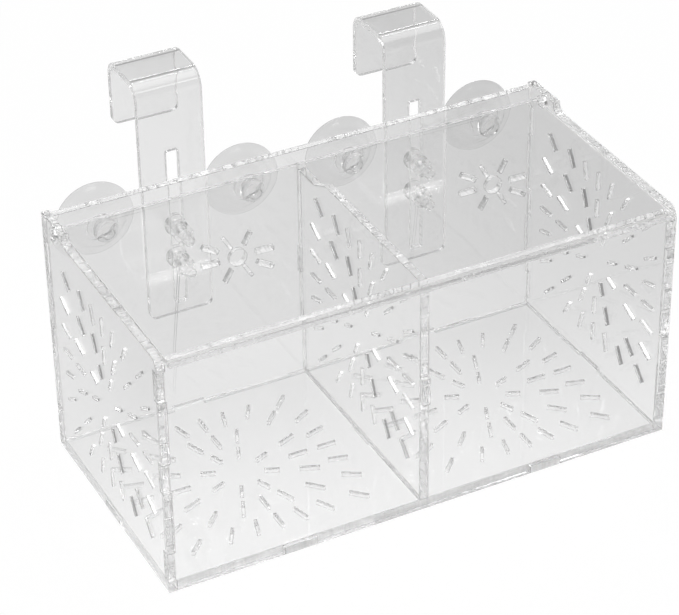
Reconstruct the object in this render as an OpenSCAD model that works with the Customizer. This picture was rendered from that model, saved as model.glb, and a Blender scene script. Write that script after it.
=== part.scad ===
// Fish breeding box: a clear acrylic tank that hangs inside an aquarium.
// Flat sheets are joined by tabs, and radial bursts of slots let water through.
// Millimetres. X runs left to right, Y front to back, Z up.
// The origin is the centre of the underside of the box.

/* [Box] */
// Width over the two side panels
box_w = 200; // [196:1:240]
// Depth over the front and back panels
box_d = 98; // [96:1:120]
// Height of the ears that carry the lid
ear_h = 100; // [99:0.5:120]
// Thickness of the acrylic sheet
sheet_t = 3; // [2.5:0.1:3.2]

/* [Lid] */
// Thickness of the lid
lid_t = 2.5; // [2:0.1:2.8]
// How far the lid reaches past the front panel
lid_overhang = 3.2; // [1:0.1:6]

/* [Water slots] */
// Length of one slot
slot_l = 7.2; // [5:0.1:8]
// Width of one slot
slot_w = 1; // [0.8:0.1:1.6]
// Number of slot rings around each centre
ring_count = 3; // [1:1:3]

/* [Hangers] */
// Width of the bent strip
hanger_w = 25; // [22:0.5:26]
// Thickness of the bent strip
hanger_t = 2.5; // [2:0.1:3]
// Height of the strip, from its lower end to the top of the hook
hanger_h = 98; // [90:0.5:100]
// Depth of the hook, over both its legs
hook_reach = 25.7; // [20:0.1:32]
// Height of the hook's outer lip
lip_h = 26.5; // [20:0.5:32]
// Outer radius of the hook's two bends
bend_r = 7; // [4:0.5:9]
// Height of the left hook's top
left_hook_z = 139.2; // [125:0.1:150]
// Height of the right hook's top
right_hook_z = 133; // [125:0.1:150]

/* [Fastenings] */
// Diameter of the screws' thread
screw_d = 4; // [3:0.5:4]
// Length of the screws, under the head
screw_l = 15; // [13:1:20]
// Distance between the two screws of a hanger
screw_pitch = 13.5; // [11:0.5:16]
// Diameter of a suction cup's rim
cup_d = 30; // [26:1:31]

/* [Hidden] */

$fn = 48;
past = 1;          // how far a cutter runs past the faces that it cuts
glue_gap = 0.05;   // what the laser leaves open between two glued faces

acrylic = [0.86, 0.89, 0.91, 0.45];
soft_vinyl = [0.80, 0.84, 0.86, 0.55];
clear_nylon = [0.76, 0.78, 0.80, 0.75];

// Faces of the box, measured from the middle
half_w = box_w / 2;
half_d = box_d / 2;
inner_x = half_w - sheet_t;
inner_y = half_d - sheet_t;

// Top edges of the upright sheets
ear_drop = 3.7;                    // from the ear down to the long edge of a side panel
side_h = ear_h - ear_drop;
front_h = ear_h - 6;
back_h = ear_h - 1;
ear_y = half_d - 18.5;             // front end of the ear
corner_r = 4.5;                    // rounding of the front top corner

// Lid and its pivots
lid_play = 0.3;                    // air around the lid
lid_z = front_h + lid_play;
pivot_y = half_d - 10;
pivot_z = lid_z + lid_t / 2;
pivot_w = 5.4;                     // a pivot is a square-cut tab of the lid
pivot_play = 0.075;
pivot_hole_r = norm([pivot_w, lid_t]) / 2 + pivot_play;
lid_heel = pivot_w / 2;            // from the pivot back to the lid's rear edge
lid_front_y = -half_d - lid_overhang;
lid_rear_y = pivot_y + lid_heel;

// Tabs: their length and the middle of each
edge_tab_l = 12;
front_tabs_z = [10.5, 48, 85.3];
back_tabs_z = [10.5, 46.5, 82.5];
base_tab_l = 12.5;
base_tab_x = 49.5;
divider_tab_l = 11;
divider_tab_z = 50.5;

// The divider's rear corner is cut low, to let the lid's heel swing down
relief_start_y = 24;
relief_end_y = 33;
relief_z = front_h - 4.2;

// Slot bursts: ring k has 8 k slots, whose middles lie on a rectangle
ring_half_u = [10.7, 23.4, 35];
ring_half_v = [10.7, 20.3, 32];
first_ring_slot_l = 5.3;
stray_slot_push = 6;               // one corner slot of the second ring sits further out
side_burst_y = -1.5;
side_burst_z = 49.5;
base_burst_x = 50.5;

// Small bursts on the back panel: a hole with slots at every 30 degrees but four
small_burst_x = [-26.5, 81.5];
small_burst_z = 59;
small_burst_hole_d = 7;
small_burst_half_u = 11;
small_burst_half_v = 7;
small_slot_wide = [7, 1.8];
small_slot_fine = [5.5, 1.2];

// Hangers
hanger_x = 49;
hanger_gap = 0.3;                  // between the strip and what it slides against
hanger_y = half_d + hanger_gap;
strip_corner_r = 2.5;
strip_slot_w = 5;
strip_slot_corner_r = 0.8;
strip_slot_foot = 4.5;             // sheet left below the slot
strip_slot_head = 28.8;            // sheet left above it

// Screws and nuts
lower_screw_z = 64;
upper_screw_z = lower_screw_z + screw_pitch;
screw_hole_play = 0.15;
screw_head_d = 8;
screw_head_h = 2.8;
screw_dome_h = 1.3;
screw_head_y = hanger_y + hanger_t + hanger_gap;
driver_slot_w = 1;
driver_slot_depth = 1.2;
nut_flats = 7;
nut_h = 3.2;
nut_thread_play = 0.05;
nut_y = inner_y - glue_gap - nut_h;

// Suction cups, measured along their axis from the back panel's outer face
cup_x = [hanger_x - 28.5, hanger_x + 29];
cup_z = 87;
cup_neck_r = 3;
cup_neck_play = 0.05;
cup_head_r = 4.5;
cup_head_l = 3.2;
cup_dimple_r = 2;
cup_dimple_depth = 1.2;
cup_boss_r = 5.5;
cup_boss_l = 1.6;
cup_rim_t = 0.6;
cup_l = 7;
cup_hollow = 3.4;
curve_steps = 8;

// A sheet in the XZ plane whose rear face is at y
module upright(y, t) {
    translate([0, y, 0]) rotate([90, 0, 0]) linear_extrude(t) children();
}

// A sheet in the YZ plane whose left face is at x
module upright_side(x, t) {
    translate([x, 0, 0]) rotate([90, 0, 90]) linear_extrude(t) children();
}

// A rectangle between two corners
module span(low, high) {
    translate(low) square(high - low);
}

// A rectangle around its middle, turned about that middle
module bar(middle, size, angle = 0) {
    translate(middle) rotate(angle) square(size, center = true);
}

// What is left of a square corner outside its rounding, for the corner at +x, +y
module corner_waste(r) {
    difference() {
        translate([-r, -r]) square(r + past);
        translate([-r, -r]) circle(r);
    }
}

// Distance from the middle of a rectangle to its outline, in the direction of an angle
function outline_r(angle, half_u, half_v) =
    min(half_u / max(abs(cos(angle)), 0.001), half_v / max(abs(sin(angle)), 0.001));

// A slot that points away from the middle of its burst
module radial_slot(angle, r, size) {
    rotate(angle) bar([r, 0], size);
}

// The large burst; stray_angle is the corner slot that sits further out
module large_burst(stray_angle) {
    for (ring = [1 : ring_count], i = [0 : 8 * ring - 1]) {
        step = 360 / (8 * ring);
        angle = (i + (ring == 1 ? 0.5 : 0)) * step;
        push = (ring == 2 && angle == stray_angle) ? stray_slot_push : 0;
        r = outline_r(angle, ring_half_u[ring - 1], ring_half_v[ring - 1]) + push;
        radial_slot(angle, r, [ring == 1 ? first_ring_slot_l : slot_l, slot_w]);
    }
}

module small_burst() {
    circle(d = small_burst_hole_d);
    for (i = [0 : 11]) {
        angle = 30 * i;
        flat = abs(sin(angle)) < 0.6;
        if (i % 6 != 1 && i % 6 != 3) {
            r = outline_r(angle, small_burst_half_u, small_burst_half_v);
            radial_slot(angle, r, flat ? small_slot_wide : small_slot_fine);
        }
    }
}

module base_panel() {
    x = inner_x - glue_gap;
    y = inner_y - glue_gap;
    color(acrylic) linear_extrude(sheet_t) difference() {
        union() {
            span([-x, -y], [x, y]);
            span([-half_w, -base_tab_l / 2], [half_w, base_tab_l / 2]);
            for (side = [-1, 1])
                bar([side * base_tab_x, 0], [base_tab_l, box_d]);
        }
        for (side = [-1, 1])
            translate([side * base_burst_x, 0]) large_burst(45);
        bar([0, 0], [sheet_t, base_tab_l] + 2 * [glue_gap, glue_gap]);
    }
}

// What the front and back panels share: edge tabs, and openings for the base and the divider
module long_panel_outline(height, tabs_z) {
    x = inner_x - glue_gap;
    fit = 2 * glue_gap;
    difference() {
        union() {
            span([-x, 0], [x, height]);
            for (z = tabs_z)
                bar([0, z], [box_w, edge_tab_l]);
        }
        for (side = [-1, 1])
            bar([side * base_tab_x, 0], [base_tab_l + fit, 2 * sheet_t + fit]);
        bar([0, divider_tab_z], [sheet_t + fit, divider_tab_l + fit]);
    }
}

module front_panel() {
    color(acrylic) upright(-inner_y, sheet_t) long_panel_outline(front_h, front_tabs_z);
}

module back_panel() {
    color(acrylic) upright(half_d, sheet_t) difference() {
        long_panel_outline(back_h, back_tabs_z);
        for (x = small_burst_x)
            translate([x, small_burst_z]) small_burst();
        for (side = [-1, 1], z = [lower_screw_z, upper_screw_z])
            translate([side * hanger_x, z]) circle(d = screw_d + 2 * screw_hole_play);
        for (side = [-1, 1], x = cup_x)
            translate([side * x, cup_z]) circle(cup_neck_r + cup_neck_play);
    }
}

// A side panel seen from the right: the long edge, the ear and its foot fillet
module side_outline() {
    fillet_y = ear_y - ear_drop;
    difference() {
        union() {
            span([-half_d, 0], [half_d, side_h]);
            span([fillet_y, side_h], [half_d, ear_h]);
        }
        translate([fillet_y, ear_h]) circle(ear_drop);
        translate([-half_d, side_h]) mirror([1, 0]) corner_waste(corner_r);
    }
}

module side_panel(x) {
    fit = 2 * glue_gap;
    tab_hole = [2 * sheet_t + fit, edge_tab_l + fit];
    color(acrylic) upright_side(x, sheet_t) difference() {
        side_outline();
        for (z = front_tabs_z)
            bar([-half_d, z], tab_hole);
        for (z = back_tabs_z)
            bar([half_d, z], tab_hole);
        bar([0, 0], [base_tab_l + fit, 2 * sheet_t + fit]);
        translate([side_burst_y, side_burst_z]) large_burst(225);
        translate([pivot_y, pivot_z]) circle(pivot_hole_r);
    }
}

module divider_panel() {
    y = inner_y - glue_gap;
    outline = [
        [-y, sheet_t + glue_gap], [y, sheet_t + glue_gap], [y, relief_z],
        [relief_end_y, relief_z], [relief_start_y, front_h], [-y, front_h]
    ];
    color(acrylic) upright_side(-sheet_t / 2, sheet_t) difference() {
        union() {
            polygon(outline);
            bar([0, divider_tab_z], [box_d, divider_tab_l]);
            span([-base_tab_l / 2, 0], [base_tab_l / 2, 2 * sheet_t]);
        }
        translate([side_burst_y, side_burst_z]) large_burst(225);
    }
}

module lid() {
    x = inner_x - lid_play;
    color(acrylic) translate([0, 0, lid_z]) linear_extrude(lid_t) {
        span([-x, lid_front_y], [x, lid_rear_y]);
        bar([0, pivot_y], [box_w - 2 * lid_play, pivot_w]);
    }
}

// A rectangle between two corners with its two upper corners rounded
module round_topped(low, high, r) {
    difference() {
        span(low, high);
        translate(high) corner_waste(r);
        translate([low[0], high[1]]) mirror([1, 0]) corner_waste(r);
    }
}

// A rectangle between two corners with all four of its corners rounded
module round_cornered(low, high, r) {
    half = (high - low) / 2;
    translate(low + half) difference() {
        span(-half, half);
        for (side = [-1, 1], end = [-1, 1])
            scale([side, end]) translate(half) corner_waste(r);
    }
}

// The bent strip seen from the right, its front face at y = 0 and its top at z = 0
module hanger_profile() {
    difference() {
        union() {
            round_topped([0, -lip_h], [hook_reach, 0], bend_r);
            span([0, -hanger_h], [hanger_t, -bend_r]);
        }
        round_topped(
            [hanger_t, -hanger_h - past], [hook_reach - hanger_t, -hanger_t], bend_r - hanger_t
        );
    }
}

// Rounds the two lower corners of a leg of the strip
module leg_corner_waste(z, r) {
    for (side = [-1, 1])
        translate([side * hanger_w / 2, z]) scale([side, -1]) corner_waste(r);
}

module hanger(x, top_z) {
    slot_half = strip_slot_w / 2;
    slot_low = -hanger_h + strip_slot_foot;
    leg_cut = hanger_t + 2 * past;
    color(acrylic) translate([x, hanger_y, top_z]) difference() {
        upright_side(-hanger_w / 2, hanger_w) hanger_profile();
        upright(hanger_t + past, leg_cut) {
            leg_corner_waste(-hanger_h, strip_corner_r);
            round_cornered(
                [-slot_half, slot_low], [slot_half, -strip_slot_head], strip_slot_corner_r
            );
        }
        upright(hook_reach + past, leg_cut) leg_corner_waste(-lip_h, strip_corner_r);
    }
}

// Turns a piece that was built along +Z to lie along +Y, with its foot at [x, y, z]
module along_y(place) {
    translate(place) rotate([-90, 0, 0]) children();
}

// A domed head with a driver slot behind the strip, and a shank that ends inside the box
module screw(x, z) {
    head_side_h = screw_head_h - screw_dome_h;
    r = screw_head_d / 2;
    dome = [for (i = [0 : curve_steps]) [
        r * cos(90 * i / curve_steps),
        head_side_h + screw_dome_h * sin(90 * i / curve_steps)
    ]];
    color(clear_nylon) along_y([x, screw_head_y, z]) difference() {
        union() {
            rotate_extrude() polygon(concat([[0, 0], [r, 0]], dome));
            translate([0, 0, -screw_l]) cylinder(h = screw_l, d = screw_d);
        }
        translate([-r - past, -driver_slot_w / 2, screw_head_h - driver_slot_depth])
            cube([2 * (r + past), driver_slot_w, driver_slot_depth + past]);
    }
}

// A hexagon nut against the panel's inner face
module nut(x, z) {
    chamfer = 0.5;
    corner_r_of_nut = nut_flats / 2 / cos(30);
    color(clear_nylon) along_y([x, nut_y, z]) difference() {
        intersection() {
            cylinder(h = nut_h, r = corner_r_of_nut, $fn = 6);
            rotate_extrude() polygon([
                [0, 0], [nut_flats / 2, 0], [corner_r_of_nut, chamfer],
                [corner_r_of_nut, nut_h - chamfer], [nut_flats / 2, nut_h], [0, nut_h]
            ]);
        }
        translate([0, 0, -past])
            cylinder(h = nut_h + 2 * past, d = screw_d + 2 * nut_thread_play);
    }
}

// A hollow mushroom head inside the box, a neck through the panel, and a thin bell outside
module suction_cup(x) {
    rim_r = cup_d / 2;
    head_foot = -sheet_t - glue_gap;
    head = [for (i = [0 : curve_steps]) [
        cup_head_r * sin(90 * i / curve_steps),
        head_foot - cup_head_l * (0.3 + 0.7 * cos(90 * i / curve_steps))
    ]];
    bell = [for (i = [0 : curve_steps]) let (u = i / curve_steps) [
        cup_boss_r + (rim_r - cup_boss_r) * u,
        cup_boss_l + (cup_l - cup_rim_t - cup_boss_l) * pow(u, 1.4)
    ]];
    hollow = [for (i = [0 : curve_steps]) let (u = 1 - i / curve_steps) [
        rim_r * u,
        cup_l - cup_hollow * (1 - u * u)
    ]];
    neck = [
        [cup_head_r, head_foot], [cup_neck_r, head_foot],
        [cup_neck_r, glue_gap], [cup_boss_r, glue_gap]
    ];
    color(soft_vinyl) along_y([x, half_d, cup_z]) difference() {
        rotate_extrude() polygon(concat(head, neck, bell, hollow));
        translate([0, 0, head_foot - cup_head_l - past])
            cylinder(h = cup_dimple_depth + past, r = cup_dimple_r);
    }
}

base_panel();
front_panel();
back_panel();
side_panel(-half_w);  // left_side_panel
side_panel(inner_x);  // right_side_panel
divider_panel();
lid();
hanger(-hanger_x, left_hook_z);  // left_hanger
hanger(hanger_x, right_hook_z);  // right_hanger
screw(-hanger_x, upper_screw_z);  // left_upper_screw
screw(-hanger_x, lower_screw_z);  // left_lower_screw
screw(hanger_x, upper_screw_z);  // right_upper_screw
screw(hanger_x, lower_screw_z);  // right_lower_screw
nut(-hanger_x, upper_screw_z);  // left_upper_nut
nut(-hanger_x, lower_screw_z);  // left_lower_nut
nut(hanger_x, upper_screw_z);  // right_upper_nut
nut(hanger_x, lower_screw_z);  // right_lower_nut
suction_cup(-cup_x[1]);  // left_outer_suction_cup
suction_cup(-cup_x[0]);  // left_inner_suction_cup
suction_cup(cup_x[0]);  // right_inner_suction_cup
suction_cup(cup_x[1]);  // right_outer_suction_cup
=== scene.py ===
"""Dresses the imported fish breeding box: clear cut sheets, bent strips, screws and cups on a white floor."""

import logging
import math
from dataclasses import dataclass, field
from enum import Enum, IntEnum

import bpy
from mathutils import Matrix, Vector

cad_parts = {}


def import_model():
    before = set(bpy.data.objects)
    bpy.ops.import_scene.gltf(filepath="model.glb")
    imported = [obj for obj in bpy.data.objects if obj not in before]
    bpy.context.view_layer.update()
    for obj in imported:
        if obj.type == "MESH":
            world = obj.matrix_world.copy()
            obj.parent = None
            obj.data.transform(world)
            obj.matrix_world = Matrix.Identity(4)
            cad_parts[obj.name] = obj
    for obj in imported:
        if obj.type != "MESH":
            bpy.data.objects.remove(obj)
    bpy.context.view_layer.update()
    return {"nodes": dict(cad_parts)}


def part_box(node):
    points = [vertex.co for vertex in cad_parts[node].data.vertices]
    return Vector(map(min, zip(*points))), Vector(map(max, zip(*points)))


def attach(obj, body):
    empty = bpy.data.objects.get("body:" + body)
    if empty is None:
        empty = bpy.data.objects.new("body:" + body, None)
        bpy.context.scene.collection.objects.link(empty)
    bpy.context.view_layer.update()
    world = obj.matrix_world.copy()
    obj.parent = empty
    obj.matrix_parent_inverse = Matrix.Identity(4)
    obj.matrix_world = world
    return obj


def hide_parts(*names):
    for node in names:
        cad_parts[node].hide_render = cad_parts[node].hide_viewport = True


MM = 0.001
ACRYLIC_IOR = 1.49
# Light crosses many clear faces, and is mirrored inside the sheets, before it leaves the box
LIGHT_BOUNCES = 64
# Points closer than this are made one
WELD = 0.002 * MM
# Radius of the tiny ring that starts or ends a turned form, and is then filled
POLE = 0.02 * MM
# A Mix node's colour inputs and output, by number, because other sockets share their names
MIX_COLOURS = (6, 7)
MIX_RESULT = 2
LOG = logging.getLogger("breeding_box")


def grey(level: float) -> tuple:
    """An opaque grey colour."""
    return (level, level, level, 1)


def arc(centre: tuple, reach: tuple, degrees: tuple) -> list:
    """Rings of a turned form along an arc.

    Args:
        centre: the arc's centre, as a place along the line and a radius.
        reach: how far the arc reaches from it, along the line and outwards; negative turns it over.
        degrees: each ring's angle, where 0 is straight out and 90 is on along the line.

    Returns:
        Each ring's place along the line and radius.
    """
    place, radius = centre
    along, outward = reach
    angles = [math.radians(angle) for angle in degrees]
    return [(place + along * math.sin(angle), radius + outward * math.cos(angle)) for angle in angles]


class Wrapped:
    """A node's output socket with arithmetic, so that shader maths reads as an expression."""

    def __init__(self, tree: "Nodes", socket: bpy.types.NodeSocket) -> None:
        """Keeps the tree that the maths nodes go into and the socket they read."""
        self.tree = tree
        self.socket = socket

    def math(self, operation: str, *others: "Wrapped | float", flipped: bool = False) -> "Wrapped":
        """Adds one Math node.

        Args:
            operation: the Math node's operation.
            others: the other operands, sockets or numbers.
            flipped: puts this socket second, for 1 - mask and the like.

        Returns:
            The node's result.
        """
        operands = [self, *others]
        if flipped:
            operands.reverse()
        settings = {"operation": operation}
        return self.tree.add("ShaderNodeMath", settings, dict(enumerate(operands)))

    def __add__(self, other: "Wrapped | float") -> "Wrapped":
        """Adds."""
        return self.math("ADD", other)

    def __radd__(self, other: float) -> "Wrapped":
        """Adds to a number."""
        return self.math("ADD", other)

    def __sub__(self, other: "Wrapped | float") -> "Wrapped":
        """Subtracts."""
        return self.math("SUBTRACT", other)

    def __rsub__(self, other: float) -> "Wrapped":
        """Subtracts from a number."""
        return self.math("SUBTRACT", other, flipped=True)

    def __mul__(self, other: "Wrapped | float") -> "Wrapped":
        """Multiplies."""
        return self.math("MULTIPLY", other)

    def __rmul__(self, other: float) -> "Wrapped":
        """Multiplies a number."""
        return self.math("MULTIPLY", other)

    def between(self, low: float, high: float) -> "Wrapped":
        """0 at low, 1 at high, and a smooth step from one to the other."""
        values = {"Value": self, "From Min": low, "From Max": high}
        return self.tree.add("ShaderNodeMapRange", {"interpolation_type": "SMOOTHSTEP"}, values)

    def spread(self, low: float, high: float) -> "Wrapped":
        """Low where this is 0, high where it is 1, and in step between them."""
        return self * (high - low) + low


@dataclass(frozen=True)
class Pattern:
    """A noise pattern.

    Attributes:
        scale: patches for each metre.
        detail: octaves of finer noise.
        bare: the noise level up to which nothing shows.
        full: the noise level from which all of it shows.
    """

    scale: float
    detail: float
    bare: float = 0.0
    full: float = 1.0


class Nodes:
    """A material's or world's node tree, emptied and ready to be filled."""

    def __init__(self, owner: bpy.types.Material | bpy.types.World) -> None:
        """Switches nodes on and clears what Blender put there.

        Args:
            owner: the material or world.
        """
        owner.use_nodes = True
        self.tree = owner.node_tree
        self.tree.nodes.clear()

    def add(self, kind: str, settings: dict | None = None, values: dict | None = None,
            output: str | int = 0) -> Wrapped | None:
        """Adds one node.

        Args:
            kind: the node's type name.
            settings: properties of the node, set first.
            values: what goes into its inputs, by name or number: a Wrapped socket, a value, or None
                to leave the input alone.
            output: which output to return.

        Returns:
            The chosen output, or None from a node that has no outputs.
        """
        node = self.tree.nodes.new(kind)
        for name, value in (settings or {}).items():
            setattr(node, name, value)
        for name, value in (values or {}).items():
            if isinstance(value, Wrapped):
                self.tree.links.new(value.socket, node.inputs[name])
            elif value is not None:
                node.inputs[name].default_value = value
        return Wrapped(self, node.outputs[output]) if node.outputs else None

    def blend_greys(self, factor: Wrapped, low: float, high: float) -> Wrapped:
        """A grey colour between two levels.

        Args:
            factor: 0 for the low level and 1 for the high one.
            low: the low level.
            high: the high level.

        Returns:
            The colour.
        """
        first, second = MIX_COLOURS
        values = {"Factor": factor, first: grey(low), second: grey(high)}
        return self.add("ShaderNodeMix", {"data_type": "RGBA"}, values, MIX_RESULT)

    def mix(self, factor: Wrapped | float, low: Wrapped, high: Wrapped) -> Wrapped:
        """A mix of two shaders."""
        return self.add("ShaderNodeMixShader", None, {0: factor, 1: low, 2: high})

    def noise(self, pattern: Pattern, stretch: tuple = (1, 1, 1)) -> Wrapped:
        """Plain noise on the piece's own coordinates, in metres.

        Args:
            pattern: how fine the noise is.
            stretch: how much denser it is along each axis.

        Returns:
            The noise, about 0.5.
        """
        place = self.add("ShaderNodeTexCoord", None, None, "Object")
        mapped = self.add("ShaderNodeMapping", None, {"Vector": place, "Scale": stretch})
        values = {"Vector": mapped, "Scale": pattern.scale, "Detail": pattern.detail}
        return self.add("ShaderNodeTexNoise", None, values)

    def patches(self, pattern: Pattern) -> Wrapped:
        """A pattern's patches: 0 where it is bare and 1 where it is full."""
        return self.noise(pattern).between(pattern.bare, pattern.full)

    def bump(self, height: Wrapped, strength: float, depth: float) -> Wrapped:
        """A bumpy normal, from a height of 0 to 1, the part of it that shows and its depth in metres."""
        return self.add("ShaderNodeBump", None, {"Strength": strength, "Distance": depth, "Height": height})

    def glassy(self, colour: Wrapped | tuple, ior: float, roughness: Wrapped,
               normal: Wrapped | None = None) -> Wrapped:
        """A glossy shader that light passes through.

        Args:
            colour: what the light takes on at each face.
            ior: how strongly it bends light.
            roughness: how much it scatters light.
            normal: its relief, if it has one.

        Returns:
            The shader.
        """
        return self.add("ShaderNodeBsdfPrincipled", None, {
            "Base Color": colour, "IOR": ior, "Roughness": roughness, "Transmission Weight": 1.0,
            "Normal": normal})

    def matt(self, colour: Wrapped | tuple, normal: Wrapped | None = None) -> Wrapped:
        """A matt shader, with a relief if it has one."""
        return self.add("ShaderNodeBsdfDiffuse", None, {"Color": colour, "Normal": normal})

    def finish(self, shader: Wrapped, kind: str = "ShaderNodeOutputMaterial") -> None:
        """Sends a shader to the output."""
        self.add(kind, None, {"Surface": shader})

    def finish_clear(self, shader: Wrapped, tint: float) -> None:
        """Sends a clear shader to the output, and lets the lamps through it.

        Args:
            shader: what the eye sees.
            tint: how much lamp light gets through a whole sheet, with its two faces.
        """
        lamp_ray = self.add("ShaderNodeLightPath", None, None, "Is Shadow Ray")
        open_way = self.add("ShaderNodeBsdfTransparent", None, {"Color": grey(math.sqrt(tint))})
        self.finish(self.mix(lamp_ray, shader, open_way))


class Part(IntEnum):
    """The parts of a cut sheet that have a finish of their own, in the order of its material slots."""

    FACE = 0
    CUT_EDGE = 1
    SLOT_WALL = 2
    BORDER = 3


class CupPart(IntEnum):
    """The parts of a suction cup that have a finish of their own, in the order of its material slots."""

    MOULDING = 0
    RIM = 1


class Facing(Enum):
    """The axis that a sheet's polished faces look along, and how hazy its slot walls are."""

    X = (0, 0.09)
    Y = (1, 0.60)
    Z = (2, 0.12)

    def __init__(self, axis: int, slot_haze: float) -> None:
        """Gives the two numbers their names."""
        self.axis = axis
        self.slot_haze = slot_haze

    def stretch(self, along: float) -> tuple:
        """Noise stretch of 1 across the sheet's plane.

        Args:
            along: the stretch through the sheet's thickness.

        Returns:
            The stretch along each axis.
        """
        scale = [1.0, 1.0, 1.0]
        scale[self.axis] = along
        return tuple(scale)


class EdgeWork(Enum):
    """How a sheet's cut edges are left: the least and the most frost on them, and how deep the ridges are."""

    LASER_CUT = (0.05, 0.40, 0.003 * MM)
    GLUED = (0.45, 0.60, 0.0005 * MM)
    FLAMED = (0.18, 0.35, 0.0006 * MM)

    def __init__(self, least_frost: float, most_frost: float, ridge_depth: float) -> None:
        """Gives the three numbers their names."""
        self.least_frost = least_frost
        self.most_frost = most_frost
        self.ridge_depth = ridge_depth


class Finish:
    """A surface's finish. Each kind fills a new material's nodes in its own way."""

    def build(self, name: str) -> bpy.types.Material:
        """Makes the material.

        Args:
            name: the material's name.

        Returns:
            The material, with its nodes.
        """
        material = bpy.data.materials.new(name)
        self.fill(Nodes(material))
        return material

    def fill(self, nodes: Nodes) -> None:
        """Adds the finish's own nodes."""
        raise NotImplementedError


@dataclass(frozen=True)
class PolishedFace(Finish):
    """The clear, glossy face of an acrylic sheet, with a trace of handling smudges."""

    tint: float
    ior: float = ACRYLIC_IOR
    roughness: float = 0.004
    smudge_roughness: float = 0.034
    smudges: Pattern = Pattern(scale=45, detail=5, bare=0.45, full=0.75)

    def fill(self, nodes: Nodes) -> None:
        """Adds a clear shader, a little rougher in the smudges."""
        roughness = nodes.patches(self.smudges).spread(self.roughness, self.smudge_roughness)
        nodes.finish_clear(nodes.glassy(grey(self.tint), self.ior, roughness), self.tint)


@dataclass(frozen=True)
class CutEdge(Finish):
    """A cut edge: glassy, with fine ridges through the sheet, and frosted in patches and specks.

    Both the ridges and the frost come in runs, with smoother and clearer stretches between them. The frost's
    white is darker in the ridges' grooves: painted shade.
    """

    facing: Facing
    work: EdgeWork
    tint: float = 0.94
    ior: float = ACRYLIC_IOR
    roughness: float = 0.01
    patch_roughness: float = 0.06
    ridges: Pattern = Pattern(scale=1700, detail=2, bare=0.35, full=0.65)
    ridge_stretch: float = 0.05
    runs: Pattern = Pattern(scale=60, detail=2, bare=0.46, full=0.60)
    relief_between_runs: float = 0.15
    patches: Pattern = Pattern(scale=380, detail=4, bare=0.44, full=0.66)
    patch_share: float = 0.6
    specks: Pattern = Pattern(scale=1900, detail=2, bare=0.50, full=0.62)
    speck_share: float = 0.4
    # The white's level in the ridges' grooves, darkened as painted shade, and on their tops
    groove_shaded_white: float = 0.85
    ridge_top_white: float = 1.0

    def fill(self, nodes: Nodes) -> None:
        """Adds a clear and a white shader, mixed by the frost.

        Args:
            nodes: the material's nodes.
        """
        ridges = nodes.noise(self.ridges, self.facing.stretch(self.ridge_stretch))
        runs = nodes.patches(self.runs)
        patches = nodes.patches(self.patches)
        specks = nodes.patches(self.specks)
        height = ridges * runs.spread(self.relief_between_runs, 1.0)
        relief = nodes.bump(height, 1.0, self.work.ridge_depth)
        roughness = patches.spread(self.roughness, self.patch_roughness)
        clear = nodes.glassy(grey(self.tint), self.ior, roughness, relief)
        # Painted shade: the frost's white is darker in the ridges' grooves and lighter on their tops
        groove_shade_mask = ridges.between(self.ridges.bare, self.ridges.full)
        white = nodes.matt(nodes.blend_greys(groove_shade_mask, self.groove_shaded_white, self.ridge_top_white), relief)
        speckle = runs * (patches * self.patch_share + specks * self.speck_share)
        frost = speckle.spread(self.work.least_frost, self.work.most_frost)
        nodes.finish_clear(nodes.mix(frost, clear, white), self.tint)


@dataclass(frozen=True)
class SlotWall(Finish):
    """The wall of a narrow laser slot: glassy, with faint ridges through the sheet and a trace of haze,
    thinner in the grooves as painted shade.
    """

    facing: Facing
    tint: float = 0.92
    ior: float = ACRYLIC_IOR
    roughness: float = 0.20
    ridges: Pattern = Pattern(scale=1800, detail=1, bare=0.35, full=0.65)
    ridge_stretch: float = 0.04
    ridge_strength: float = 0.15
    ridge_depth: float = 0.05 * MM
    haze_and_shade_between_ridges: float = 0.6
    white: float = 0.95

    def fill(self, nodes: Nodes) -> None:
        """Adds a clear and a white shader, mixed by the haze.

        Args:
            nodes: the material's nodes.
        """
        ridges = nodes.noise(self.ridges, self.facing.stretch(self.ridge_stretch))
        relief = nodes.bump(ridges, self.ridge_strength, self.ridge_depth)
        clear = nodes.glassy(grey(self.tint), self.ior, ridges * self.roughness, relief)
        groove_shade_mask = ridges.between(self.ridges.bare, self.ridges.full)
        # Painted shade: the haze is thinner in the ridges' grooves than on their tops
        haze = groove_shade_mask.spread(self.haze_and_shade_between_ridges, 1.0) * self.facing.slot_haze
        nodes.finish_clear(nodes.mix(haze, clear, nodes.matt(grey(self.white))), self.tint)


@dataclass(frozen=True)
class BrokenBorder(Finish):
    """The narrow broken border round a cut edge, which shows as a thin grey line of painted shade, from its
    dark tint, or as a frosted line.
    """

    # A tint well below the sheet's own: painted shade along the border
    tint: float = 0.45
    ior: float = ACRYLIC_IOR
    roughness: float = 0.15
    frost: float = 0.0
    wear_and_shade: Pattern = Pattern(scale=500, detail=3, bare=0.3, full=0.7)
    darker: float = 0.7
    brighter: float = 1.4
    frost_between_wear: float = 0.7

    def fill(self, nodes: Nodes) -> None:
        """Adds a clear shader with a dark tint of painted shade, darker and brighter in turn, with white over
        it.

        Args:
            nodes: the material's nodes.
        """
        wear_and_shade = nodes.patches(self.wear_and_shade)
        # The wear pattern breaks the tint's painted shade into darker and brighter stretches, and roughens
        # and frosts the border
        colour = nodes.blend_greys(wear_and_shade, self.tint * self.darker, min(1.0, self.tint * self.brighter))
        clear = nodes.glassy(colour, self.ior, wear_and_shade * self.roughness)
        frost = wear_and_shade.spread(self.frost_between_wear, 1.0) * self.frost
        nodes.finish_clear(nodes.mix(frost, clear, nodes.matt(grey(1.0))), self.tint)


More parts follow.
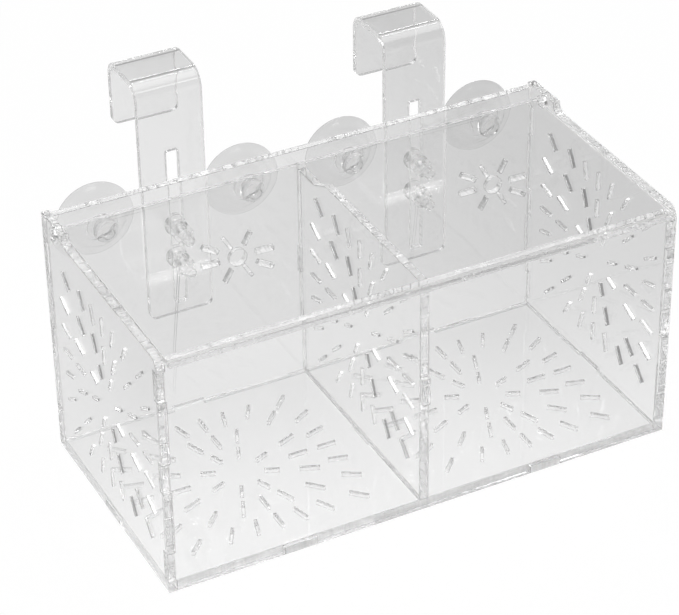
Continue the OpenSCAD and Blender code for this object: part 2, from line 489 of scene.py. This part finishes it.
@dataclass(frozen=True)
class ClearMoulded(Finish):
    """Clear moulded plastic or set glue, with a fine grain and, where it is cloudy, some milk in it."""

    tint: float
    ior: float = 1.5
    roughness: float = 0.05
    grain_roughness: float = 0.06
    grain: Pattern = Pattern(scale=900, detail=3)
    grain_strength: float = 0.12
    grain_depth: float = 0.15 * MM
    cloudiness: float = 0.0
    clouds: Pattern = Pattern(scale=300, detail=3, bare=0.3, full=0.7)
    milk: float = 0.9

    def fill(self, nodes: Nodes) -> None:
        """Adds a clear and a milky shader, mixed by the clouds.

        Args:
            nodes: the material's nodes.
        """
        grain = nodes.noise(self.grain)
        relief = nodes.bump(grain, self.grain_strength, self.grain_depth)
        roughness = grain * self.grain_roughness + self.roughness
        clear = nodes.glassy(grey(self.tint), self.ior, roughness, relief)
        cloudy = nodes.patches(self.clouds) * self.cloudiness
        nodes.finish_clear(nodes.mix(cloudy, clear, nodes.matt(grey(self.milk), relief)), self.tint)


@dataclass(frozen=True)
class Fall:
    """A stretch of painted shade on the floor, which grows darker one way.

    Attributes:
        way: the direction in which it does.
        start: how far along that way it starts, from the middle of the box, in metres.
        end: how far along that way it is at its darkest.
        depth: how much darker it is there.
    """

    way: tuple
    start: float
    end: float
    depth: float


@dataclass(frozen=True)
class PaleFloor(Finish):
    """A pale sweep: white to the camera, with the object's shade, and soft grey to all other rays.

    The camera sees plain white by the share glow, and for the rest the floor's colour in its shade.
    Other rays see the level, less the painted shade of the falls.
    """

    colour: float = 0.86
    glow: float = 0.95
    level: float = 0.955
    shade_falls: tuple = (
        Fall(way=(0, 1, 0), start=-0.05, end=0.06, depth=0.13),
        Fall(way=(1, 0, 0), start=0.00, end=0.20, depth=0.15),
        Fall(way=(-1, 0, 0), start=0.105, end=0.17, depth=0.28),
    )

    def fill(self, nodes: Nodes) -> None:
        """Adds the white that the camera sees and the grey that all other rays see.

        Args:
            nodes: the material's nodes.
        """
        place = nodes.add("ShaderNodeTexCoord", None, None, "Object")
        level = self.level
        # Each fall paints shade on the glow that other rays see, darker one way
        for fall in self.shade_falls:
            values = {0: place, 1: fall.way}
            along = nodes.add("ShaderNodeVectorMath", {"operation": "DOT_PRODUCT"}, values, "Value")
            level = level - along.between(fall.start, fall.end) * fall.depth
        white = nodes.add("ShaderNodeEmission", None, {"Color": grey(1.0), "Strength": 1.0})
        graded = nodes.add("ShaderNodeEmission", None, {"Color": grey(1.0), "Strength": level})
        camera_ray = nodes.add("ShaderNodeLightPath", None, None, "Is Camera Ray")
        direct = nodes.mix(self.glow, nodes.matt(grey(self.colour)), white)
        nodes.finish(nodes.mix(camera_ray, graded, direct))


class Bench:
    """Blender's operators in the few forms that the modelling here needs."""

    @staticmethod
    def deselect() -> None:
        """Deselects everything."""
        bpy.ops.object.select_all(action="DESELECT")

    @staticmethod
    def pick(piece: bpy.types.Object, *others: bpy.types.Object) -> None:
        """Selects pieces and nothing else.

        Args:
            piece: the piece to make the active one.
            others: pieces to select with it.
        """
        Bench.deselect()
        for selected in (piece, *others):
            selected.select_set(True)
        bpy.context.view_layer.objects.active = piece

    @staticmethod
    def edit(piece: bpy.types.Object) -> None:
        """Opens one piece alone in edit mode, with all of its mesh selected.

        Args:
            piece: the piece.
        """
        Bench.pick(piece)
        bpy.ops.object.mode_set(mode="EDIT")
        bpy.ops.mesh.select_all(action="SELECT")

    @staticmethod
    def leave() -> None:
        """Goes back to object mode."""
        bpy.ops.object.mode_set(mode="OBJECT")

    @staticmethod
    def apply(piece: bpy.types.Object, kind: str, settings: dict) -> None:
        """Adds a modifier and applies it.

        Args:
            piece: the piece to change.
            kind: the modifier's type.
            settings: its properties.
        """
        Bench.pick(piece)
        modifier = piece.modifiers.new(kind.lower(), kind)
        for name, value in settings.items():
            setattr(modifier, name, value)
        bpy.ops.object.modifier_apply(modifier=modifier.name)

    @staticmethod
    def settle(piece: bpy.types.Object) -> None:
        """Moves the piece's place into its mesh, so that its object sits at the origin."""
        Bench.pick(piece)
        bpy.ops.object.transform_apply(location=True, rotation=True, scale=True)

    @staticmethod
    def smooth(piece: bpy.types.Object, degrees: float) -> None:
        """Shades the piece smooth, except over edges sharper than the angle."""
        Bench.pick(piece)
        bpy.ops.object.shade_smooth_by_angle(angle=math.radians(degrees))

    @staticmethod
    def block(middle: Vector, size: tuple) -> bpy.types.Object:
        """Adds a block with square sides.

        Args:
            middle: its middle.
            size: its length along each axis.

        Returns:
            The block, at the origin, with its place in its mesh.
        """
        Bench.deselect()
        bpy.ops.mesh.primitive_cube_add(size=1, location=middle)
        piece = bpy.context.object
        piece.scale = size
        Bench.settle(piece)
        return piece

    @staticmethod
    def turned(name: str, centre: Vector, rings: list, steps: int) -> bpy.types.Object:
        """Turns a closed form about a line along Y, ring after ring, as on a lathe.

        Args:
            name: the piece's name.
            centre: the point that the rings are measured from.
            rings: each ring's place along the line and radius; the first and the last are filled.
            steps: points on each ring.

        Returns:
            The new piece, at the origin, with its place in its mesh.
        """
        place, radius = rings[0]
        start = centre + Vector((0, place, 0))
        Bench.deselect()
        bpy.ops.mesh.primitive_circle_add(vertices=steps, radius=radius, location=start,
                                          rotation=(math.pi / 2, 0, 0))
        piece = bpy.context.object
        piece.name = name
        piece.data.name = name
        Bench.edit(piece)
        for next_place, next_radius in rings[1:]:
            move = {"value": (0, next_place - place, 0)}
            bpy.ops.mesh.extrude_edges_move(TRANSFORM_OT_translate=move)
            ratio = next_radius / radius
            middle = centre + Vector((0, next_place, 0))
            bpy.ops.transform.resize(value=(ratio, 1, ratio), center_override=middle)
            place, radius = next_place, next_radius
        bpy.ops.mesh.select_all(action="SELECT")
        bpy.ops.mesh.remove_doubles(threshold=WELD)
        bpy.ops.mesh.fill_holes(sides=0)
        bpy.ops.mesh.normals_make_consistent(inside=False)
        Bench.leave()
        Bench.settle(piece)
        return piece


@dataclass
class AcrylicStock:
    """One sheet stock: its polished face, its cut edges and its slot walls, for each way it can face."""

    name: str
    tint: float
    # By default a dark border: painted shade along the sheets' edges
    border: BrokenBorder = BrokenBorder()
    made: dict = field(default_factory=dict)

    def finishes(self, facing: Facing, work: EdgeWork) -> list:
        """Makes the finishes of a sheet, each once.

        Args:
            facing: the axis that the sheet's polished faces look along.
            work: how its cut edges are left.

        Returns:
            The finishes in the order of Part.
        """
        axis = facing.name.lower()
        wanted = {
            Part.FACE: ("face", PolishedFace(self.tint)),
            Part.CUT_EDGE: (f"{work.name.lower()}_edge_{axis}", CutEdge(facing, work)),
            Part.SLOT_WALL: (f"slot_wall_{axis}", SlotWall(facing)),
            Part.BORDER: ("border", self.border),
        }
        finishes = []
        for part in Part:
            part_name, finish = wanted[part]
            name = f"{self.name}_{part_name}"
            if name not in self.made:
                self.made[name] = finish.build(name)
            finishes.append(self.made[name])
        return finishes


@dataclass
class Sheet:
    """A flat acrylic sheet: the node's own shape with its borders just broken.

    A face counts as polished where its normal leans along the sheet's axis by more than face_lean.
    Of the other faces, those within rim of the sheet's outline are cut edges, and the rest slot walls.
    """

    node: str
    body: str
    stock: AcrylicStock
    facing: Facing
    work: EdgeWork = EdgeWork.LASER_CUT
    border: float = 0.14 * MM
    border_steps: int = 2
    border_degrees: float = 35
    rim: float = 4.4 * MM
    face_lean: float = 0.2
    slot: str = "acrylic"

    def build(self, nodes: dict) -> bpy.types.Object:
        """Copies the node, breaks its borders and sorts its faces into finishes.

        Args:
            nodes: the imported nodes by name.

        Returns:
            The new piece.
        """
        mesh = nodes[self.node].data.copy()
        piece = bpy.data.objects.new(f"{self.node}_clear", mesh)
        bpy.context.scene.collection.objects.link(piece)
        mesh.materials.clear()
        for material in self.stock.finishes(self.facing, self.work):
            mesh.materials.append(material)
        Bench.edit(piece)
        bpy.ops.mesh.remove_doubles(threshold=WELD)
        bpy.ops.mesh.customdata_custom_splitnormals_clear()
        Bench.leave()
        Bench.apply(piece, "BEVEL", {
            "width": self.border, "segments": self.border_steps, "limit_method": "ANGLE",
            "angle_limit": math.radians(self.border_degrees), "use_clamp_overlap": True,
            "material": int(Part.BORDER)})
        self._sort_faces(piece)
        self._shade(piece)
        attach(piece, self.body)
        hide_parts(self.node)
        LOG.info("cut %s: %d faces", piece.name, len(mesh.polygons))
        return piece

    def _shade(self, piece: bpy.types.Object) -> None:
        """Keeps a flat sheet's faces flat."""
        for face in piece.data.polygons:
            face.use_smooth = False

    def _sort_faces(self, piece: bpy.types.Object) -> None:
        """Gives each face its finish, apart from the borders, which have theirs.

        Args:
            piece: the sheet's piece.
        """
        low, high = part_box(self.node)
        across = [axis for axis in range(3) if axis != self.facing.axis]
        for face in piece.data.polygons:
            if face.material_index == Part.BORDER:
                continue
            if abs(face.normal[self.facing.axis]) > self.face_lean:
                face.material_index = Part.FACE
                continue
            inset = min(min(face.center[a] - low[a], high[a] - face.center[a]) for a in across)
            face.material_index = Part.SLOT_WALL if inset > self.rim else Part.CUT_EDGE


@dataclass
class BentStrip(Sheet):
    """A hanger: a strip bent over at the top, with a long slot down its leg.

    Its sides, its two ends and its slot's sides are cut. The rest is polished, and so is the hook's
    underside, which looks down as an end does but lies within top_height of the hook's top.
    """

    side_lean: float = 0.3
    end_lean: float = 0.5
    slot_half_width: float = 2.8 * MM
    top_height: float = 12 * MM
    bend_degrees: float = 20

    def _shade(self, piece: bpy.types.Object) -> None:
        """Shades the two bends smooth."""
        Bench.smooth(piece, self.bend_degrees)

    def _sort_faces(self, piece: bpy.types.Object) -> None:
        """Gives each face its finish, apart from the borders, which have theirs.

        Args:
            piece: the strip's piece.
        """
        low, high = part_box(self.node)
        middle = (low.x + high.x) / 2
        top_foot = high.z - self.top_height
        for face in piece.data.polygons:
            if face.material_index == Part.BORDER:
                continue
            sideways = abs(face.normal.x) > self.side_lean
            end = face.normal.z < -self.end_lean and face.center.z < top_foot
            if not (sideways or end) or abs(face.normal.y) > self.face_lean:
                face.material_index = Part.FACE
            elif sideways and abs(face.center.x - middle) < self.slot_half_width:
                face.material_index = Part.SLOT_WALL
            else:
                face.material_index = Part.CUT_EDGE


@dataclass
class GlueLines:
    """The fine fillets of set glue along the inner joints.

    They are milky along the front and the back, and clear along the foot of the sides and the divider.
    The upright ones end at the height top.
    """

    milky: bpy.types.Material
    clear: bpy.types.Material
    leg: float = 0.5 * MM
    overlap: float = 0.05 * MM
    top: float = 92 * MM

    def build(self) -> None:
        """Lays a fillet along every inner joint."""
        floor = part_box("base_panel")[1].z
        left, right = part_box("left_side_panel")[1].x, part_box("right_side_panel")[0].x
        front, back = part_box("front_panel")[1].y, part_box("back_panel")[0].y
        divider_left, divider_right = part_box("divider_panel")[0].x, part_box("divider_panel")[1].x
        for cell, near, far in (("left", left, divider_left), ("right", divider_right, right)):
            ends = (("first", near, 1), ("last", far, -1))
            for wall, y, inward in (("front", front, 1), ("back", back, -1)):
                self._fillet(f"{cell}_{wall}_floor_glue", self.milky,
                             (near, y, floor), (far, y, floor), (0, inward, 1))
                for end, x, into in ends:
                    self._fillet(f"{cell}_{wall}_{end}_glue", self.milky,
                                 (x, y, floor), (x, y, self.top), (into, inward, 0))
            for end, x, into in ends:
                self._fillet(f"{cell}_{end}_floor_glue", self.clear,
                             (x, front, floor), (x, back, floor), (into, 0, 1))

    def _fillet(self, name: str, material: bpy.types.Material, start: tuple, end: tuple,
                into: tuple) -> None:
        """Lays one fillet: a bar in the corner, cut along its diagonal.

        Args:
            name: the piece's name.
            material: how the glue has set.
            start: the corner line's first end.
            end: its other end.
            into: the way from the corner into the cell.
        """
        start, end, into = Vector(start), Vector(end), Vector(into)
        middle = (start + end) / 2 + into * (self.leg / 2 - self.overlap)
        size = [abs(length) if length else self.leg for length in end - start]
        piece = Bench.block(middle, size)
        piece.name = name
        piece.data.name = name
        Bench.edit(piece)
        bpy.ops.mesh.bisect(plane_co=middle, plane_no=into.normalized(), use_fill=True, clear_outer=True)
        Bench.leave()
        piece.data.materials.append(material)
        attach(piece, "box")
        LOG.info("laid %s", name)


@dataclass
class SuctionCup:
    """A moulded vinyl cup: a hollow head inside the box, a neck through the panel and a bell outside.

    Its rings are measured along Y from the panel's outer face. The rounding of the head's foot gives
    how far each ring lies before the foot and how far in from the head's side. The rings of the bell
    lie at parts of the way from the boss to the bead, and those of the hollow at parts of the radius.
    """

    node: str
    material: bpy.types.Material
    shaded_rim_material: bpy.types.Material
    steps: int = 56
    head_radius: float = 4.5 * MM
    head_length: float = 3.2 * MM
    head_foot: float = -3.05 * MM
    head_corner: float = 1.5 * MM
    foot_rounding: tuple = ((0.5 * MM, 0.0), (0.1 * MM, 0.15 * MM), (0.0, 0.4 * MM))
    dimple_radius: float = 2.0 * MM
    dimple_depth: float = 1.2 * MM
    dimple_lip: float = 0.45 * MM
    neck_radius: float = 3.0 * MM
    neck_corner: float = 0.25 * MM
    panel_gap: float = 0.05 * MM
    boss_radius: float = 5.5 * MM
    boss_length: float = 1.6 * MM
    length: float = 7.0 * MM
    bell_rings: tuple = (0.0, 0.04, 0.1, 0.2, 0.32, 0.45, 0.6, 0.75, 0.88, 0.96)
    bell_curve: float = 1.4
    bead: float = 0.32 * MM
    hollow: float = 3.4 * MM
    hollow_rings: tuple = (0.93, 0.86, 0.78, 0.70, 0.69, 0.58, 0.46, 0.45, 0.33, 0.2, 0.1)
    hollow_steps: tuple = (0.69, 0.45)
    step_depth: float = 0.12 * MM
    smooth_degrees: float = 40

    def __post_init__(self) -> None:
        """Takes the cup's radius, and its middle on the panel's outer face, from its node."""
        low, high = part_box(self.node)
        self.radius = (high.x - low.x) / 2
        self.centre = Vector(((low.x + high.x) / 2, high.y - self.length, (low.z + high.z) / 2))

    def build(self) -> bpy.types.Object:
        """Turns the cup and puts it on its node's place.

        Returns:
            The new piece.
        """
        rings = self._head() + self._neck() + self._bell() + self._bead_rings() + self._hollow_rings()
        piece = Bench.turned(f"{self.node}_moulded", self.centre, rings, self.steps)
        Bench.smooth(piece, self.smooth_degrees)
        piece.data.materials.append(self.material)
        piece.data.materials.append(self.shaded_rim_material)
        # The bead's faces take the darker vinyl: painted shade round the rim
        rim_start = self.radius - self.bead / 2
        for face in piece.data.polygons:
            out = face.center - self.centre
            if math.hypot(out.x, out.z) > rim_start:
                face.material_index = CupPart.RIM
        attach(piece, "box")
        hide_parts(self.node)
        LOG.info("turned %s: %d faces", piece.name, len(piece.data.polygons))
        return piece

    def _head(self) -> list:
        """The head's dimple, its rounded top, its side and the rounding of its foot.

        Returns:
            The rings.
        """
        top = self.head_foot - self.head_length
        floor = top + self.dimple_depth
        lip, corner = self.dimple_lip, self.head_corner
        dimple = [(floor, POLE), (floor, self.dimple_radius - lip), (floor - lip / 2, self.dimple_radius),
                  (top + lip, self.dimple_radius)]
        mouth = arc((top + lip, self.dimple_radius + lip), (-lip, -lip), (20, 45, 70))
        shoulder = arc((top + corner, self.head_radius - corner), (corner, corner), (-85, -65, -45, -25, -5))
        foot = [(self.head_foot - before, self.head_radius - inward) for before, inward in self.foot_rounding]
        return dimple + mouth + shoulder + foot

    def _neck(self) -> list:
        """The groove that grips the panel.

        Returns:
            The rings.
        """
        corner, boss_face = self.neck_corner, self.panel_gap
        return [(self.head_foot, self.neck_radius + corner), (self.head_foot + corner, self.neck_radius),
                (-corner, self.neck_radius), (boss_face, self.neck_radius + corner),
                (boss_face, self.boss_radius - corner), (boss_face + corner, self.boss_radius)]

    def _bell(self) -> list:
        """The boss and the outside of the thin bell, down to its bead.

        Returns:
            The rings.
        """
        fall = self.length - 2 * self.bead - self.boss_length
        spread = self.radius - self.bead - self.boss_radius
        return [(self.boss_length + fall * part ** self.bell_curve, self.boss_radius + spread * part)
                for part in self.bell_rings]

    def _bead_rings(self) -> list:
        """The rounded bead round the rim."""
        centre = (self.length - self.bead, self.radius - self.bead)
        return arc(centre, (self.bead, self.bead), (-75, -40, 0, 40, 75))

    def _hollow_rings(self) -> list:
        """The hollow that grips the glass, with two moulded steps.

        Returns:
            The rings.
        """
        rings = []
        for part in self.hollow_rings:
            depth = self.hollow * (1 - part * part)
            if part in self.hollow_steps:
                depth += self.step_depth
            rings.append((self.length - depth, self.radius * part))
        rings.append((self.length - self.hollow, POLE))
        return rings


@dataclass
class ThreadedScrew:
    """A clear plastic screw: a slotted pan head behind the strip and a threaded shank into the box.

    The thread's flank and crest are parts of its pitch. The shank stops head_gap short of the head, so
    that no two faces lie in one plane.
    """

    node: str
    material: bpy.types.Material
    steps: int = 20
    pitch: float = 0.7 * MM
    radius: float = 2.0 * MM
    thread_depth: float = 0.38 * MM
    flank: float = 0.4
    crest: float = 0.2
    spare_turns: int = 2
    head_gap: float = 0.02 * MM
    head_height: float = 2.8 * MM
    head_corner: float = 0.2 * MM
    dome_height: float = 1.3 * MM
    driver_width: float = 1.0 * MM
    driver_depth: float = 1.2 * MM
    smooth_degrees: float = 35

    def __post_init__(self) -> None:
        """Takes the head's radius, the middle of its underside and the shank's length from the node."""
        low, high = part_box(self.node)
        self.head_radius = (high.x - low.x) / 2
        self.foot = Vector(((low.x + high.x) / 2, high.y - self.head_height, (low.z + high.z) / 2))
        self.length = self.foot.y - low.y

    def build(self) -> bpy.types.Object:
        """Makes the head and the thread and joins them.

        Returns:
            The new piece.
        """
        head = self._head()
        shank = self._shank()
        Bench.pick(head, shank)
        bpy.ops.object.join()
        Bench.smooth(head, self.smooth_degrees)
        head.data.materials.clear()
        head.data.materials.append(self.material)
        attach(head, "box")
        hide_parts(self.node)
        LOG.info("threaded %s: %d faces", head.name, len(head.data.polygons))
        return head

    def _head(self) -> bpy.types.Object:
        """Makes the pan head, with its driver slot cut across.

        Returns:
            The head.
        """
        side = self.head_height - self.dome_height
        radius, corner = self.head_radius, self.head_corner
        underside = [(0, POLE), (0, radius - corner), (corner, radius), (side, radius)]
        dome = arc((side, 0), (self.dome_height, radius), (15, 35, 55, 75, 88))
        head = Bench.turned(f"{self.node}_threaded", self.foot, underside + dome, 2 * self.steps)
        top = self.foot + Vector((0, self.head_height, 0))
        cutter = Bench.block(top, (4 * radius, 2 * self.driver_depth, self.driver_width))
        Bench.apply(head, "BOOLEAN", {"object": cutter, "operation": "DIFFERENCE", "solver": "EXACT"})
        bpy.data.objects.remove(cutter)
        return head

    def _tooth(self) -> bpy.types.Object:
        """Draws one tooth of the thread: a point drawn out up the flank, along the crest and down again.

        Returns:
            The tooth, as a line of three edges.
        """
        core = self.radius - self.thread_depth
        start = (self.foot.x + core, self.foot.y - self.length - self.pitch, self.foot.z)
        Bench.deselect()
        bpy.ops.mesh.primitive_plane_add(size=self.pitch, location=start)
        tooth = bpy.context.object
        Bench.edit(tooth)
        # The small plane, merged to its middle, is the point that the tooth is drawn out from
        bpy.ops.mesh.merge(type="CENTER")
        outline = ((self.thread_depth, self.flank), (0, self.crest), (-self.thread_depth, self.flank))
        for outward, along in outline:
            move = {"value": (outward, along * self.pitch, 0)}
            bpy.ops.mesh.extrude_vertices_move(TRANSFORM_OT_translate=move)
        Bench.leave()
        Bench.settle(tooth)
        return tooth

    def _shank(self) -> bpy.types.Object:
        """Makes the threaded rod: one tooth swept up a helix, then cut square at both ends.

        Returns:
            The rod.
        """
        shank = self._tooth()
        pin = bpy.data.objects.new("thread_line", None)
        pin.location = self.foot
        bpy.context.scene.collection.objects.link(pin)
        bpy.context.view_layer.update()
        Bench.apply(shank, "SCREW", {
            "axis": "Y", "object": pin, "angle": math.tau, "screw_offset": self.pitch,
            "iterations": math.ceil(self.length / self.pitch) + self.spare_turns,
            "steps": self.steps, "render_steps": self.steps,
            "use_merge_vertices": True, "merge_threshold": WELD})
        bpy.data.objects.remove(pin)
        Bench.edit(shank)
        tip, root = self.foot.y - self.length, self.foot.y - self.head_gap
        for level, outward in ((tip, -1), (root, 1)):
            bpy.ops.mesh.select_all(action="SELECT")
            bpy.ops.mesh.bisect(plane_co=(0, level, 0), plane_no=(0, outward, 0), use_fill=True,
                                clear_outer=True)
        bpy.ops.mesh.select_all(action="SELECT")
        bpy.ops.mesh.normals_make_consistent(inside=False)
        Bench.leave()
        return shank


@dataclass(frozen=True)
class Lamp:
    """A rectangular soft lamp: its place and size in metres, and its power in watts."""

    name: str
    place: tuple
    size: tuple
    power: float

    def build(self, target: Vector) -> None:
        """Hangs the lamp.

        Args:
            target: the point that it faces.
        """
        data = bpy.data.lights.new(self.name, "AREA")
        data.shape = "RECTANGLE"
        data.size, data.size_y = self.size
        data.energy = self.power
        lamp = bpy.data.objects.new(self.name, data)
        lamp.location = self.place
        lamp.rotation_euler = (target - Vector(self.place)).to_track_quat("-Z", "Y").to_euler()
        bpy.context.scene.collection.objects.link(lamp)


@dataclass
class Studio:
    """The floor, the lamps, the world and the camera.

    The world is at its far level in the direction far_way and at its near level away from it, and
    the part of it behind the box that lies in the direction glow_way is brighter by glow_level.
    """

    image_width: int = 679
    focal_px: float = 2648.9
    sensor_mm: float = 36.0
    azimuth: float = -26.78
    elevation: float = 33.64
    roll: float = -0.83
    camera_place: tuple = (-0.36274, -0.70183, 0.58295)
    clip_start: float = 0.05
    floor_size: float = 12.0
    floor_gap: float = 0.0004
    near_level: float = 0.18
    far_level: float = 0.40
    far_way: tuple = (0.30, 0.70, 0.65)
    far_range: tuple = (0.15, 0.75)
    glow_way: tuple = (-0.3, 0, 1)
    glow_range: tuple = (0.40, 0.65)
    glow_level: float = 0.45
    lamp_target: tuple = (0, 0, 0.05)
    lamps: tuple = (
        Lamp("overhead_softbox", place=(0.0, -0.15, 1.45), size=(2.0, 1.3), power=11.0),
        Lamp("back_strip", place=(0.5, 1.05, 1.48), size=(1.6, 0.10), power=7.0),
        Lamp("front_softbox", place=(0.0, -1.08, 1.04), size=(1.1, 0.25), power=2.0),
        Lamp("left_fill", place=(-1.3, 0.2, 0.9), size=(0.8, 0.5), power=1.5),
    )

    def build(self) -> None:
        """Makes every part of the studio."""
        self._floor()
        self._world()
        for lamp in self.lamps:
            lamp.build(Vector(self.lamp_target))
        self._camera()

    def _floor(self) -> None:
        """Lays a large flat floor just under the box."""
        Bench.deselect()
        bpy.ops.mesh.primitive_plane_add(size=self.floor_size, location=(0, 0, -self.floor_gap))
        floor = bpy.context.object
        floor.name = "floor"
        floor.data.materials.append(PaleFloor().build("pale_floor"))

    def _world(self) -> None:
        """Makes soft light all round, and plain white where the camera looks past the floor."""
        world = bpy.data.worlds.new("studio")
        bpy.context.scene.world = world
        nodes = Nodes(world)
        way = nodes.add("ShaderNodeTexCoord", None, None, "Generated")
        settings = {"operation": "DOT_PRODUCT"}
        backward = nodes.add("ShaderNodeVectorMath", settings, {0: way, 1: self.far_way}, "Value")
        upward = nodes.add("ShaderNodeVectorMath", settings, {0: way, 1: self.glow_way}, "Value")
        behind = backward.between(*self.far_range)
        glow = upward.between(*self.glow_range) * self.glow_level
        level = behind * (self.far_level - self.near_level + glow) + self.near_level
        camera_ray = nodes.add("ShaderNodeLightPath", None, None, "Is Camera Ray")
        shown = camera_ray * (1 - level) + level
        sky = nodes.add("ShaderNodeBackground", None, {"Color": grey(1.0), "Strength": shown})
        nodes.finish(sky, "ShaderNodeOutputWorld")

    def _camera(self) -> None:
        """Sets up the photograph's camera."""
        turn, tilt, roll = (math.radians(a) for a in (self.azimuth, self.elevation, self.roll))
        back = Vector((math.sin(turn) * math.cos(tilt), -math.cos(turn) * math.cos(tilt), math.sin(tilt)))
        level = Vector((math.cos(turn), math.sin(turn), 0))
        upright = back.cross(level)
        right = level * math.cos(roll) + upright * math.sin(roll)
        up = back.cross(right)
        data = bpy.data.cameras.new("camera")
        data.sensor_width = self.sensor_mm
        data.lens = self.focal_px / self.image_width * self.sensor_mm
        data.clip_start = self.clip_start
        camera = bpy.data.objects.new("camera", data)
        axes = Matrix((right, up, back)).transposed().to_4x4()
        camera.matrix_world = Matrix.Translation(self.camera_place) @ axes
        bpy.context.scene.collection.objects.link(camera)
        bpy.context.scene.camera = camera


@dataclass
class BreedingBox:
    """All the pieces of the box, its lid, its hangers and its fastenings."""

    nodes: dict
    box_stock: AcrylicStock = field(default_factory=lambda: AcrylicStock("box_acrylic", 0.975))
    lid_stock: AcrylicStock = field(default_factory=lambda: AcrylicStock(
        "lid_acrylic", 0.96, BrokenBorder(tint=0.95, frost=0.8)))
    # The strips' borders are tinted grey: painted shade along their edges
    strip_stock: AcrylicStock = field(default_factory=lambda: AcrylicStock(
        "strip_acrylic", 0.97, BrokenBorder(tint=0.75)))

    def build(self) -> None:
        """Builds every sub-assembly in order."""
        self._glued_sheets()
        self._lid()
        self._glue()
        self._hangers()
        self._cups()
        self._fastenings()

    def _glued_sheets(self) -> None:
        """Cuts the six sheets of the box."""
        sheets = (
            ("base_panel", Facing.Z, EdgeWork.GLUED),
            ("front_panel", Facing.Y, EdgeWork.LASER_CUT),
            ("back_panel", Facing.Y, EdgeWork.FLAMED),
            ("left_side_panel", Facing.X, EdgeWork.LASER_CUT),
            ("right_side_panel", Facing.X, EdgeWork.LASER_CUT),
            ("divider_panel", Facing.X, EdgeWork.LASER_CUT),
        )
        for node, facing, work in sheets:
            Sheet(node, "box", self.box_stock, facing, work).build(self.nodes)

    def _lid(self) -> None:
        """Cuts the lid."""
        Sheet("lid", "lid", self.lid_stock, Facing.Z, EdgeWork.FLAMED, slot="lid_acrylic").build(self.nodes)

    def _glue(self) -> None:
        """Lays the fillets of glue."""
        clouds = Pattern(scale=60, detail=3, bare=0.3, full=0.7)
        milky = ClearMoulded(0.97, cloudiness=1.0, clouds=clouds).build("milky_glue")
        clear = ClearMoulded(0.82, cloudiness=0.25, clouds=clouds).build("clear_glue")
        GlueLines(milky, clear).build()

    def _hangers(self) -> None:
        """Cuts the two bent strips."""
        for side in ("left", "right"):
            name = f"{side}_hanger"
            BentStrip(name, name, self.strip_stock, Facing.Y, EdgeWork.FLAMED,
                      slot="hanger_acrylic").build(self.nodes)

    def _cups(self) -> None:
        """Moulds the four suction cups."""
        vinyl = ClearMoulded(0.91, roughness=0.04, grain_roughness=0.10).build("soft_vinyl")
        # The rim's vinyl is the cup's own, made darker and rougher: painted shade along the rim
        rim = ClearMoulded(0.60, roughness=0.10, grain_roughness=0.10).build("soft_vinyl_shaded_rim")
        for place in ("left_outer", "left_inner", "right_inner", "right_outer"):
            SuctionCup(f"{place}_suction_cup", vinyl, rim).build()

    def _fastenings(self) -> None:
        """Threads new screws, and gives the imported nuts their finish."""
        nylon = ClearMoulded(0.95, roughness=0.02, grain_roughness=0.03, cloudiness=0.03).build("clear_nylon")
        for side in ("left", "right"):
            for level in ("upper", "lower"):
                ThreadedScrew(f"{side}_{level}_screw", nylon).build()
                nut = self.nodes[f"{side}_{level}_nut"]
                nut.data.materials.clear()
                nut.data.materials.append(nylon)
                LOG.info("dressed %s", nut.name)


def prepare_scene() -> None:
    """Sets the plain view transform and lets light pass through many clear layers."""
    scene = bpy.context.scene
    scene.view_settings.view_transform = "Standard"
    for limit in ("max_bounces", "transmission_bounces", "glossy_bounces", "transparent_max_bounces"):
        setattr(scene.cycles, limit, LIGHT_BOUNCES)


def main() -> None:
    """Builds the box and the studio."""
    logging.basicConfig(level=logging.INFO, format="%(message)s")
    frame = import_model()
    prepare_scene()
    BreedingBox(frame["nodes"]).build()
    Studio().build()


if __name__ == "__main__":
    main()
